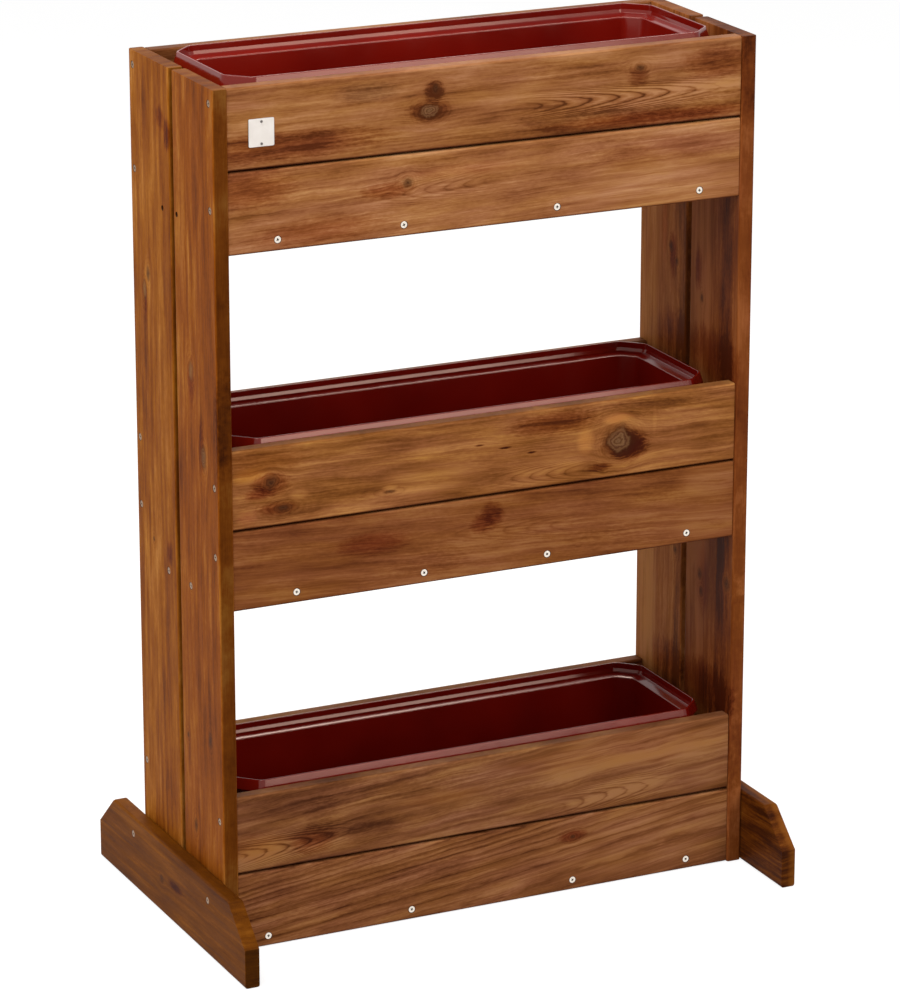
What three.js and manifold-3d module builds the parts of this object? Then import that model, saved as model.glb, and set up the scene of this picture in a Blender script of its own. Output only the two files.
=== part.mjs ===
// Raised wooden planter: two upright ends of stained pine boards carry three slatted boxes, one above the
// other, and a plastic tray lifts out of each box.
// Millimetres, +Z up, the front towards -Y. The origin is on the ground under the middle of the planter.
import * as THREE from "three";
import { mergeVertices } from "three/addons/utils/BufferGeometryUtils.js";
import Module from "manifold-3d";

const wasm = await Module();
wasm.setup();

// Frame
const planterWidth = 680; // between the outer faces of the two ends
const boardThickness = 18; // ends, slats and floors are planed to one thickness
const arrisRadius = 3; // rounding of the long edges
const arrisSteps = 3; // facets in each rounded edge
const sideBoardWidth = 119;
const sideBoardGap = 9; // open groove between the two boards of an end
const slatWidth = 94;
const slatGap = 2; // between the upper and the lower slat of a box
const slatRecess = 3; // slats lie this far inside the edges of the ends
const tierPitch = 416; // from one box to the next
const seatGap = 0.3; // between pieces that touch
const floorBoardWidth = 95;

// Feet
const footLength = 450;
const footHeight = 90;
const footThickness = 18;
const footCornerRun = 48; // how far the sloping corner reaches along the foot
const footCornerRise = 43; // and how far down from its top edge

// Trays
const trayLength = 608; // over the top of the rim
const trayWidth = 186;
const trayHeight = 173;
const trayWall = 2.2;
const trayTaper = 17; // how far each wall leans in from the ledge to the base
const trayCorner = 27; // corner radius of the rim's top
const trayBaseCorner = 16;
const trayCornerSteps = 4;
const trayHeel = 5; // rounding between wall and base
const lipDrop = 13; // depth of the turned-down lip
const lipFlare = 4; // how far the lip leans out below the rim's top
const lipRound = 2; // rounding of the rim's top
const rimTop = 2; // flat width on top of the rim
const slopeRun = 1; // the rim falls steeply in to a ledge
const slopeDrop = 11;
const ledgeWidth = 12; // the ledge slopes gently in to the wall
const ledgeDrop = 3;

// Screws and nails
const screwHeadDiameter = 8;
const screwHeadHeight = 3;
const screwShankDiameter = 4;
const screwTipLength = 5;
const screwRecessDiameter = 3.4;
const screwRecessDepth = 1.4;
const screwSides = 8;
const screwSink = 0.2; // heads lie this far under the wood's surface
const slatScrewLength = 45;
const footScrewLength = 33;
const footScrewInset = 8.5; // from the edge of the end board
const footScrewHeight = 68; // above the ground
const holeClearance = 0.3; // all round a screw or nail

// Plate
const plateWidth = 31;
const plateHeight = 32;
const plateThickness = 1;
const plateCorner = 2;
const plateFromEnd = 25; // from the left end of the slat to the plate
const plateFromTop = 37; // from the slat's upper edge to the plate
const nailHeadDiameter = 3;
const nailHeadHeight = 0.8;
const nailShankDiameter = 1.2;
const nailLength = 12;
const nailInset = 3.5; // from the plate's upper and lower edges

// Each box: its name, its place from the bottom, how far the underside of its floor lies above the lower
// edges of its front slats, how much lower its back slats are than the front ones, and where the end screws
// lie above the middle of a front slat
const tiers = [
  { name: "bottom", level: 0, floorRise: 4, backDrop: 0, screwRise: { upper: 18, lower: 4 } },
  { name: "middle", level: 1, floorRise: 1.5, backDrop: 4, screwRise: { upper: 4, lower: 18 } },
  { name: "top", level: 2, floorRise: 2, backDrop: 0, screwRise: { upper: 30, lower: 5 } },
];
const ends = [
  { name: "left", sign: -1 },
  { name: "right", sign: 1 },
];
const faces = [
  { name: "front", sign: -1 },
  { name: "back", sign: 1 },
];
const rows = ["upper", "lower"];

// Worked out from the sizes above
const topTier = tiers.at(-1);
const endDepth = 2 * sideBoardWidth + sideBoardGap;
const boxHeight = 2 * slatWidth + slatGap;
const frameHeight = topTier.level * tierPitch + boxHeight;
const innerWidth = planterWidth - 2 * boardThickness;
const crossLength = innerWidth - 2 * seatGap;
const slatPlane = endDepth / 2 - slatRecess - boardThickness / 2; // middle of a slat's thickness
const boxDepth = 2 * (slatPlane - boardThickness / 2); // inside a box, from slat to slat
const floorPlane = boxDepth / 2 - seatGap - floorBoardWidth / 2; // middle of a floor board's width
const endPlane = planterWidth / 2 - boardThickness / 2; // middle of an end board's thickness
const sideBoardPlane = sideBoardGap / 2 + sideBoardWidth / 2; // middle of an end board's width
const footPlane = planterWidth / 2 + seatGap + footThickness / 2;
const footScrewPlane = endDepth / 2 - footScrewInset;

const axis = {
  x: new THREE.Vector3(1, 0, 0),
  y: new THREE.Vector3(0, 1, 0),
  z: new THREE.Vector3(0, 0, 1),
};

// Materials
const stain = (color) => new THREE.MeshStandardMaterial({ color, roughness: 0.6, metalness: 0 });
const endWood = stain(0x8a4f26);
const slatWood = stain(0x7d4f2c);
const floorWood = stain(0x6e4527);
const footWood = stain(0x6f3b1e);
const trayPlastic = new THREE.MeshStandardMaterial({ color: 0x6e1712, roughness: 0.2, metalness: 0 });
const zinc = new THREE.MeshStandardMaterial({ color: 0xc9c7c2, roughness: 0.35, metalness: 1 });
const whiteMetal = new THREE.MeshStandardMaterial({ color: 0xe8e6e2, roughness: 0.4, metalness: 0 });

// A closed geometry as a manifold-3d solid.
function toSolid(geometry) {
  const bare = geometry.clone();
  bare.deleteAttribute("normal");
  bare.deleteAttribute("uv");
  const merged = mergeVertices(bare, 1e-4);
  const triVerts = new Uint32Array(merged.index.array);
  const vertProperties = new Float32Array(merged.attributes.position.array);
  return new wasm.Manifold(new wasm.Mesh({ numProp: 3, vertProperties, triVerts }));
}

function toGeometry(solid) {
  const mesh = solid.getMesh();
  const geometry = new THREE.BufferGeometry();
  geometry.setAttribute("position", new THREE.BufferAttribute(mesh.vertProperties, mesh.numProp));
  geometry.setIndex(new THREE.BufferAttribute(mesh.triVerts, 1));
  geometry.computeVertexNormals();
  return geometry;
}

// The geometry with every cutter taken out of it.
function carve(geometry, cutters) {
  let solid = toSolid(geometry);
  for (const cutter of cutters) solid = solid.subtract(toSolid(cutter));
  return toGeometry(solid);
}

function addPiece(parent, name, geometry, material, position) {
  const mesh = new THREE.Mesh(geometry, material);
  mesh.name = name;
  mesh.position.copy(position);
  parent.add(mesh);
  return mesh;
}

// A rectangle with rounded corners about the origin.
function roundedRectangle(width, height, radius) {
  const x = width / 2 - radius;
  const y = height / 2 - radius;
  const shape = new THREE.Shape();
  shape.absarc(x, y, radius, 0, Math.PI / 2);
  shape.absarc(-x, y, radius, Math.PI / 2, Math.PI);
  shape.absarc(-x, -y, radius, Math.PI, 1.5 * Math.PI);
  shape.absarc(x, -y, radius, 1.5 * Math.PI, 2 * Math.PI);
  return shape;
}

// A planed board about the origin: rounded long edges and square ends.
function board(length, width, lengthAxis, widthAxis) {
  const radius = Math.min(arrisRadius, boardThickness / 2.5, width / 2.5);
  const section = roundedRectangle(width, boardThickness, radius);
  const geometry = new THREE.ExtrudeGeometry(section, {
    depth: length,
    bevelEnabled: false,
    curveSegments: arrisSteps,
  });
  geometry.translate(0, 0, -length / 2);
  const thicknessAxis = lengthAxis.clone().cross(widthAxis);
  return geometry.applyMatrix4(new THREE.Matrix4().makeBasis(widthAxis, thicknessAxis, lengthAxis));
}

// A screw that points down -Y from its head, or with clearance the hole that it needs.
function screwGeometry(length, clearance) {
  const head = screwHeadDiameter / 2 + clearance;
  const shank = screwShankDiameter / 2 + clearance;
  const tip = -length - clearance;
  const outline = [
    new THREE.Vector2(0, tip),
    new THREE.Vector2(shank, tip + screwTipLength),
    new THREE.Vector2(shank, -screwHeadHeight - clearance),
    new THREE.Vector2(head, -clearance),
  ];
  if (clearance > 0) {
    outline.push(new THREE.Vector2(head, boardThickness), new THREE.Vector2(0, boardThickness));
  } else {
    outline.push(
      new THREE.Vector2(head, 0),
      new THREE.Vector2(screwRecessDiameter / 2, 0),
      new THREE.Vector2(0, -screwRecessDepth),
    );
  }
  const corners = outline.filter((point, i) => i === 0 || !point.equals(outline[i - 1]));
  return new THREE.LatheGeometry(corners, screwSides);
}

// A nail that points down -Y from the underside of its head.
function nailGeometry() {
  const shank = nailShankDiameter / 2;
  const head = nailHeadDiameter / 2;
  const outline = [
    new THREE.Vector2(0, -nailLength),
    new THREE.Vector2(shank, -nailLength + nailShankDiameter),
    new THREE.Vector2(shank, 0),
    new THREE.Vector2(head, 0),
    new THREE.Vector2(head * 0.7, nailHeadHeight * 0.8),
    new THREE.Vector2(0, nailHeadHeight),
  ];
  return new THREE.LatheGeometry(outline, screwSides);
}

// Turns +Y, the way a screw's head faces, to the direction given.
const facing = (direction) => new THREE.Quaternion().setFromUnitVectors(axis.y, direction);

// The hole for a screw, in the frame of the piece at origin.
function screwHole(screw, origin) {
  const hole = screwGeometry(screw.length, holeClearance);
  hole.applyQuaternion(facing(screw.outward));
  const place = screw.head.clone().sub(origin);
  return hole.translate(place.x, place.y, place.z);
}

// Where the slats lie, and how high their end screws are
const slats = tiers.flatMap((tier) =>
  faces.flatMap((face) =>
    rows.map((row) => {
      const rise = row === "upper" ? slatWidth + slatGap : 0;
      const middle = tier.level * tierPitch + rise + slatWidth / 2;
      const drop = face.name === "back" ? tier.backDrop : 0;
      return {
        tier,
        face,
        row,
        origin: new THREE.Vector3(0, face.sign * slatPlane, middle - drop),
        screwHeight: middle + tier.screwRise[row],
      };
    }),
  ),
);
const slatName = ({ tier, face, row }) => `${tier.name}_${face.name}_${row}_slat`;

// One screw through each end into each slat, and two through each foot into its end
const slatScrews = slats.flatMap((slat) =>
  ends.map((end) => ({
    name: `${slatName(slat)}_${end.name}_screw`,
    slat,
    end,
    face: slat.face,
    length: slatScrewLength,
    outward: axis.x.clone().multiplyScalar(end.sign),
    head: new THREE.Vector3(
      end.sign * (planterWidth / 2 - screwSink),
      slat.origin.y,
      slat.screwHeight,
    ),
  })),
);
const footScrews = ends.flatMap((end) =>
  faces.map((face) => ({
    name: `${end.name}_foot_${face.name}_screw`,
    end,
    face,
    length: footScrewLength,
    outward: axis.x.clone().multiplyScalar(end.sign),
    head: new THREE.Vector3(
      end.sign * (planterWidth / 2 + seatGap + footThickness - screwSink),
      face.sign * footScrewPlane,
      footScrewHeight,
    ),
  })),
);

// Two boards side by side make each upright end.
function addEnds(parent) {
  for (const end of ends) {
    for (const face of faces) {
      const origin = new THREE.Vector3(
        end.sign * endPlane,
        face.sign * sideBoardPlane,
        frameHeight / 2,
      );
      const holes = [...slatScrews, ...footScrews]
        .filter((screw) => screw.end === end && screw.face === face)
        .map((screw) => screwHole(screw, origin));
      const plain = board(frameHeight, sideBoardWidth, axis.z, axis.y);
      addPiece(parent, `${end.name}_${face.name}_side_board`, carve(plain, holes), endWood, origin);
    }
  }
}

// The plate's lower left corner lies on the upper front slat of the top box.
const plateOrigin = new THREE.Vector3(
  -crossLength / 2 + plateFromEnd + plateWidth / 2,
  -slatPlane - boardThickness / 2 - seatGap,
  frameHeight - plateFromTop - plateHeight / 2,
);
const nailPlaces = [
  { name: "upper", rise: plateHeight / 2 - nailInset },
  { name: "lower", rise: nailInset - plateHeight / 2 },
];

// The hole for a nail, from the plate into the slat behind it.
function nailHole(nail, origin) {
  const radius = nailShankDiameter / 2 + holeClearance;
  const length = 2 * nailLength;
  const hole = new THREE.CylinderGeometry(radius, radius, length, screwSides);
  const place = plateOrigin.clone().sub(origin);
  return hole.translate(place.x, place.y, place.z + nail.rise);
}

function addSlats(parent) {
  for (const slat of slats) {
    const holes = slatScrews
      .filter((screw) => screw.slat === slat)
      .map((screw) => screwHole(screw, slat.origin));
    if (slat.tier === topTier && slat.face.name === "front" && slat.row === "upper") {
      holes.push(...nailPlaces.map((nail) => nailHole(nail, slat.origin)));
    }
    const plain = board(crossLength, slatWidth, axis.x, axis.z);
    addPiece(parent, slatName(slat), carve(plain, holes), slatWood, slat.origin);
  }
}

function addFloors(parent) {
  for (const tier of tiers) {
    for (const face of faces) {
      const z = tier.level * tierPitch + tier.floorRise + boardThickness / 2;
      const origin = new THREE.Vector3(0, face.sign * floorPlane, z);
      const geometry = board(crossLength, floorBoardWidth, axis.x, axis.y);
      addPiece(parent, `${tier.name}_${face.name}_floor_board`, geometry, floorWood, origin);
    }
  }
}

// A foot lies flat against its end and reaches out in front and behind, with its upper corners sloped off.
function addFeet(parent) {
  const half = footLength / 2;
  const outline = new THREE.Shape();
  outline.moveTo(-half, 0);
  outline.lineTo(half, 0);
  outline.lineTo(half, footHeight - footCornerRise);
  outline.lineTo(half - footCornerRun, footHeight);
  outline.lineTo(footCornerRun - half, footHeight);
  outline.lineTo(-half, footHeight - footCornerRise);
  outline.closePath();
  const round = Math.min(arrisRadius, footThickness / 2.5);
  for (const end of ends) {
    const plain = new THREE.ExtrudeGeometry(outline, {
      depth: footThickness - 2 * round,
      bevelThickness: round,
      bevelSize: round,
      bevelOffset: -round,
      bevelSegments: arrisSteps,
    });
    plain.translate(0, 0, round - footThickness / 2);
    plain.applyMatrix4(new THREE.Matrix4().makeBasis(axis.y, axis.z, axis.x));
    const origin = new THREE.Vector3(end.sign * footPlane, 0, 0);
    const holes = footScrews
      .filter((screw) => screw.end === end)
      .map((screw) => screwHole(screw, origin));
    addPiece(parent, `${end.name}_foot`, carve(plain, holes), footWood, origin);
  }
}

// One level of the tray: a rounded rectangle, inset from the outer edge of the rim's top.
function trayRing(inset, height, corner) {
  const halfX = trayLength / 2 - inset - corner;
  const halfY = trayWidth / 2 - inset - corner;
  const centres = [
    [halfX, halfY],
    [-halfX, halfY],
    [-halfX, -halfY],
    [halfX, -halfY],
  ];
  return centres.flatMap(([x, y], quarter) =>
    Array.from({ length: trayCornerSteps + 1 }, (_, step) => {
      const angle = (Math.PI / 2) * (quarter + step / trayCornerSteps);
      return new THREE.Vector3(x + corner * Math.cos(angle), y + corner * Math.sin(angle), height);
    }),
  );
}

// Rings of points joined into one closed skin, from the middle of the first to the middle of the last.
function skin(rings) {
  const count = rings[0].length;
  const first = new THREE.Vector3(0, 0, rings[0][0].z);
  const last = new THREE.Vector3(0, 0, rings.at(-1)[0].z);
  const points = [...rings.flat(), first, last];
  const start = rings.length * count;
  const index = [];
  for (let i = 0; i < count; i++) {
    const next = (i + 1) % count;
    index.push(start, next, i);
    const end = (rings.length - 1) * count;
    index.push(start + 1, end + i, end + next);
    for (let ring = 0; ring < rings.length - 1; ring++) {
      const low = ring * count;
      const high = low + count;
      index.push(low + i, low + next, high + i, low + next, high + next, high + i);
    }
  }
  const geometry = new THREE.BufferGeometry().setFromPoints(points);
  geometry.setIndex(index);
  geometry.computeVertexNormals();
  return geometry;
}

// The tray's section, from the middle of its underside, up the outside, round the rim and down the inside.
function trayGeometry() {
  const slopeTop = lipRound + rimTop;
  const slopeFoot = slopeTop + slopeRun;
  const wallTop = slopeFoot + ledgeWidth;
  const wallFoot = wallTop + trayTaper;
  const ledgeHeight = trayHeight - slopeDrop - ledgeDrop;
  const lipFoot = trayHeight - lipDrop;
  const underRim = trayHeight - trayWall - lipRound;
  const rimCorner = (inset) => Math.max(trayCorner - inset, trayBaseCorner);
  const section = [
    [wallFoot - trayWall + trayHeel, 0, trayBaseCorner],
    [wallFoot - trayWall, trayHeel, trayBaseCorner],
    [wallTop - trayWall, ledgeHeight - trayWall, rimCorner(wallTop)],
    [slopeFoot - trayWall, trayHeight - slopeDrop - trayWall, rimCorner(slopeFoot)],
    [trayWall, underRim, rimCorner(trayWall)],
    [trayWall - lipFlare, lipFoot, rimCorner(trayWall - lipFlare)],
    [-lipFlare, lipFoot, rimCorner(-lipFlare)],
    [0, trayHeight - lipRound, rimCorner(0)],
    [lipRound, trayHeight, rimCorner(lipRound)],
    [slopeTop, trayHeight, rimCorner(slopeTop)],
    [slopeFoot, trayHeight - slopeDrop, rimCorner(slopeFoot)],
    [wallTop, ledgeHeight, rimCorner(wallTop)],
    [wallFoot, trayWall + trayHeel, trayBaseCorner],
    [wallFoot + trayHeel, trayWall, trayBaseCorner],
  ];
  return skin(section.map(([inset, height, corner]) => trayRing(inset, height, corner)));
}

function addTrays(parent) {
  for (const tier of tiers) {
    const z = tier.level * tierPitch + tier.floorRise + boardThickness + seatGap;
    const origin = new THREE.Vector3(0, 0, z);
    addPiece(parent, `${tier.name}_tray`, trayGeometry(), trayPlastic, origin);
  }
}

function addPlate(parent) {
  const plain = new THREE.ExtrudeGeometry(roundedRectangle(plateWidth, plateHeight, plateCorner), {
    depth: plateThickness,
    bevelEnabled: false,
    curveSegments: arrisSteps,
  });
  plain.applyMatrix4(new THREE.Matrix4().makeBasis(axis.x, axis.z, axis.y.clone().negate()));
  const holes = nailPlaces.map((nail) => nailHole(nail, plateOrigin));
  addPiece(parent, "plate", carve(plain, holes), whiteMetal, plateOrigin);
  for (const nail of nailPlaces) {
    const origin = plateOrigin.clone();
    origin.y -= plateThickness + seatGap;
    origin.z += nail.rise;
    const mesh = addPiece(parent, `plate_${nail.name}_nail`, nailGeometry(), zinc, origin);
    mesh.quaternion.copy(facing(axis.y.clone().negate()));
  }
}

function addScrews(parent) {
  for (const screw of [...slatScrews, ...footScrews]) {
    const mesh = addPiece(parent, screw.name, screwGeometry(screw.length, 0), zinc, screw.head);
    mesh.quaternion.copy(facing(screw.outward));
  }
}

const planter = new THREE.Group();
const frame = new THREE.Group();
planter.add(frame);
addEnds(frame);
addSlats(frame);
addFloors(frame);
addFeet(frame);
addScrews(frame);
addPlate(frame);
addTrays(planter);

export default planter;
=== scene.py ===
import math
import random

import bmesh
import bpy
from mathutils import Matrix, Vector


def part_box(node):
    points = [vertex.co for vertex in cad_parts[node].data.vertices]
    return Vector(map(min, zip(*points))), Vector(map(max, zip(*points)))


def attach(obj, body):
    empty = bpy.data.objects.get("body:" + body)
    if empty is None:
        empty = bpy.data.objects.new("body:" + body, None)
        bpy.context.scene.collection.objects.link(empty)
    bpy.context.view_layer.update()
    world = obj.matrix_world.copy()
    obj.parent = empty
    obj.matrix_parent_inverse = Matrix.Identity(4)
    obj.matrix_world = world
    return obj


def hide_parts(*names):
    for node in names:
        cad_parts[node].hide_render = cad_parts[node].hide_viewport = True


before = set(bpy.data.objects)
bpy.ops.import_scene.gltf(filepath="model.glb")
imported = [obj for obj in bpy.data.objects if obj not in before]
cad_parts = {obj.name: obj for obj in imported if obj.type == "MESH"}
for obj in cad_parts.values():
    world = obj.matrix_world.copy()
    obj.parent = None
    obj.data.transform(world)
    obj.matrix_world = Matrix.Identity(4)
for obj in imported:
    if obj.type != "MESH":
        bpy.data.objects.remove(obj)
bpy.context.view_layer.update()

print("frame loaded:", len(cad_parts), "nodes")


# Helpers

def mm(*values):
    return Vector([value / 1000 for value in values])


def linear(hexColour):
    # sRGB hex to the linear colour that a shader takes
    parts = [int(hexColour[i:i + 2], 16) / 255 for i in (1, 3, 5)]
    return [c / 12.92 if c <= 0.04045 else ((c + 0.055) / 1.055) ** 2.4 for c in parts] + [1]


def addNode(tree, kind, settings=None, inputs=None, stops=None):
    # one node with its settings, its values or links by socket, and a ramp's stops
    node = tree.nodes.new("ShaderNode" + kind)
    for key, value in (settings or {}).items():
        setattr(node, key, value)
    for key, value in (inputs or {}).items():
        socket = node.inputs[key]
        if isinstance(value, bpy.types.Node):
            value = next(out for out in value.outputs if out.enabled)
        if isinstance(value, bpy.types.NodeSocket):
            tree.links.new(value, socket)
        else:
            socket.default_value = value
    for i, (place, colour) in enumerate(stops or []):
        ramp = node.color_ramp.elements
        stop = ramp[i] if i < 2 else ramp.new(place)
        stop.position = place
        stop.color = linear(colour) if isinstance(colour, str) else (colour, colour, colour, 1)
    return node


# what the maths nodes do with their sockets; the last one multiplies two and adds the third
multiply, add, multiplyAdd, absolute = (
    {"operation": word} for word in ("MULTIPLY", "ADD", "MULTIPLY_ADD", "ABSOLUTE"))


def newMaterial(name):
    material = bpy.data.materials.new(name)
    material.use_nodes = True
    material.node_tree.nodes.clear()
    return material, material.node_tree


def addObject(name, data):
    added = bpy.data.objects.new(name, data)
    bpy.context.scene.collection.objects.link(added)
    return added


def place(piece, body, slot, *nodes):
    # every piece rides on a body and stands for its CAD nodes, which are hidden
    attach(piece, body)
    if nodes:
        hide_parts(*nodes)


def bakeModifiers(piece):
    # what the modifiers make of a piece becomes its mesh
    depsgraph = bpy.context.evaluated_depsgraph_get()
    baked = bpy.data.meshes.new_from_object(piece.evaluated_get(depsgraph))
    old = piece.data
    piece.modifiers.clear()
    piece.data = baked
    bpy.data.meshes.remove(old)


def finishMesh(piece, cutter=None, sharpAngle=38):
    # cuts, then shades the flats flat and the rounded arrises round, and keeps the result as plain mesh
    if cutter:
        cut = piece.modifiers.new("cut", "BOOLEAN")
        cut.operation = "DIFFERENCE"
        cut.solver = "EXACT"
        cut.object = cutter
        cut.material_mode = "TRANSFER"
    bakeModifiers(piece)
    mesh = piece.data
    mesh.polygons.foreach_set("use_smooth", [True] * len(mesh.polygons))
    mesh.set_sharp_from_angle(angle=math.radians(sharpAngle))
    weighted = piece.modifiers.new("weighted", "WEIGHTED_NORMAL")
    weighted.keep_sharp = True
    bakeModifiers(piece)
    if cutter:
        bpy.data.objects.remove(cutter)


def meshPiece(name, shape, *materials):
    # a new object from a bmesh
    bmesh.ops.recalc_face_normals(shape, faces=shape.faces[:])
    mesh = bpy.data.meshes.new(name)
    shape.to_mesh(mesh)
    shape.free()
    for material in materials:
        mesh.materials.append(material)
    return addObject(name, mesh)


def lathe(profile, sides):
    # a turned solid about Z, from (radius, height) points that start and end on the axis
    shape = bmesh.new()
    rings = []
    for radius, height in profile:
        if radius < 1e-9:
            rings.append([shape.verts.new((0, 0, height))])
        else:
            turns = [2 * math.pi * i / sides for i in range(sides)]
            rings.append([shape.verts.new((radius * math.cos(t), radius * math.sin(t), height))
                          for t in turns])
    for a, b in zip(rings, rings[1:]):
        for i in range(sides):
            j = (i + 1) % sides
            corners = [a[i % len(a)], a[j % len(a)], b[j % len(b)], b[i % len(b)]]
            corners = [v for k, v in enumerate(corners) if v not in corners[:k]]
            if len(corners) > 2:
                shape.faces.new(corners)
    return shape


def loft(rings):
    # a closed skin over rings of points, the same number in each
    shape = bmesh.new()
    rings = [[shape.verts.new(point) for point in ring] for ring in rings]
    n = len(rings[0])
    for a, b in zip(rings, rings[1:]):
        for i in range(n):
            shape.faces.new((a[i], a[(i + 1) % n], b[(i + 1) % n], b[i]))
    shape.faces.new(rings[0])
    shape.faces.new(rings[-1])
    return shape


def mottled(name, markSize, stops, inputs):
    # a plain finish whose colour drifts between two tones, in marks of this size in mm
    material, tree = newMaterial(name)
    where = addNode(tree, "TexCoord")
    cloud = addNode(tree, "TexNoise", None, {
        "Vector": where.outputs["Object"], "Scale": 1000 / markSize, "Detail": 2.0})
    colour = addNode(tree, "ValToRGB", None, {0: cloud}, stops)
    surface = addNode(tree, "BsdfPrincipled", None, {"Base Color": colour, **inputs})
    addNode(tree, "OutputMaterial", None, {"Surface": surface})
    return material


# Camera, lights and background

view = {"lookAt": (0.0069, 0, 0.4700), "azimuth": -25.52, "elevation": 17.658, "distance": 5.4743,
        "lens": 166.8}
lamps = {  # place, point aimed at, width and height in metres, power in watts, colour
    "overhead softbox": ((-1.3, -1.0, 3.6), (0, 0, 0.6), (2.4, 2.4), 95, "#FFFFFF"),
    "front softbox": ((1.77, -4.3, 2.2), (0, 0, 0.6), (1.2, 2.2), 45, "#FFF2E6"),
    "back softbox": ((1.3, 1.7, 3.2), (0, 0, 1.0), (1.6, 1.2), 44, "#FFF2E6"),
}
ambient = 0.5  # how bright the surroundings are for diffuse light
paper = {
    "colour": "#B9B8B6",  # what the floor throws back at the planter; the eye sees it white
    "shadow": 0.35,  # how much of the floor's own shading shows against the white
    "glow": 0.79,  # how much of the white is there without any shading
    "radius": 14,  # m
    "drop": 0.0005,  # m, so that it doesn't fight with the soles of the feet
}


def buildCamera():
    a, e = math.radians(view["azimuth"]), math.radians(view["elevation"])
    target = Vector(view["lookAt"])
    away = Vector((math.sin(a) * math.cos(e), -math.cos(a) * math.cos(e), math.sin(e)))
    camera = addObject("camera", bpy.data.cameras.new("camera"))
    camera.location = target + away * view["distance"]
    camera.rotation_euler = (-away).to_track_quat("-Z", "Y").to_euler()
    camera.data.lens = view["lens"]
    camera.data.sensor_width = 36
    camera.data.clip_end = 60
    bpy.context.scene.camera = camera


def buildLamps():
    for name, (location, target, size, power, colour) in lamps.items():
        lamp = addObject(name, bpy.data.lights.new(name, "AREA"))
        lamp.location = location
        lamp.rotation_euler = (Vector(target) - Vector(location)).to_track_quat("-Z", "Y").to_euler()
        lamp.data.shape = "RECTANGLE"
        lamp.data.size, lamp.data.size_y = size
        lamp.data.energy = power
        lamp.data.color = linear(colour)[:3]


def seenRay(tree):
    # 1 for the rays of the eye, gloss and transmission, 0 for light on the way to a matt surface
    path = addNode(tree, "LightPath")
    seen = addNode(tree, "Math", {"operation": "MAXIMUM"}, {
        0: path.outputs["Is Camera Ray"], 1: path.outputs["Is Glossy Ray"]})
    return addNode(tree, "Math", {"operation": "MAXIMUM"}, {
        0: seen, 1: path.outputs["Is Transmission Ray"]})


def buildBackground():
    # white for the eye and in gloss, a softer white as light
    world = bpy.data.worlds.new("studio")
    bpy.context.scene.world = world
    world.use_nodes = True
    tree = world.node_tree
    tree.nodes.clear()
    strength = addNode(tree, "MapRange", None, {"Value": seenRay(tree), "To Min": ambient, "To Max": 1.0})
    sky = addNode(tree, "Background", None, {"Color": (1, 1, 1, 1), "Strength": strength})
    addNode(tree, "OutputWorld", None, {"Surface": sky})

    # the floor is paper that the eye and gloss see as white, with a faint shadow
    material, tree = newMaterial("paper floor")
    matt = addNode(tree, "BsdfDiffuse", None, {"Color": linear(paper["colour"])})
    faint = addNode(tree, "BsdfDiffuse", None, {"Color": [paper["shadow"]] * 3 + [1]})
    glow = addNode(tree, "Emission", None, {"Color": (1, 1, 1, 1), "Strength": paper["glow"]})
    white = addNode(tree, "AddShader", None, {0: faint, 1: glow})
    mixed = addNode(tree, "MixShader", None, {0: seenRay(tree), 1: matt, 2: white})
    addNode(tree, "OutputMaterial", None, {"Surface": mixed})
    shape = bmesh.new()
    bmesh.ops.create_circle(shape, cap_ends=True, segments=96, radius=paper["radius"])
    floor = meshPiece("floor", shape, material)
    floor.location.z = -paper["drop"]


buildCamera()
buildLamps()
buildBackground()
print("camera, lamps and floor made")


# Brown-stained planed pine. The stain goes on thin, so the growth rings and knots show through, and it
# sinks in darker at knots, on narrow edges and on end grain. Its finish is satin to matt.

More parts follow.
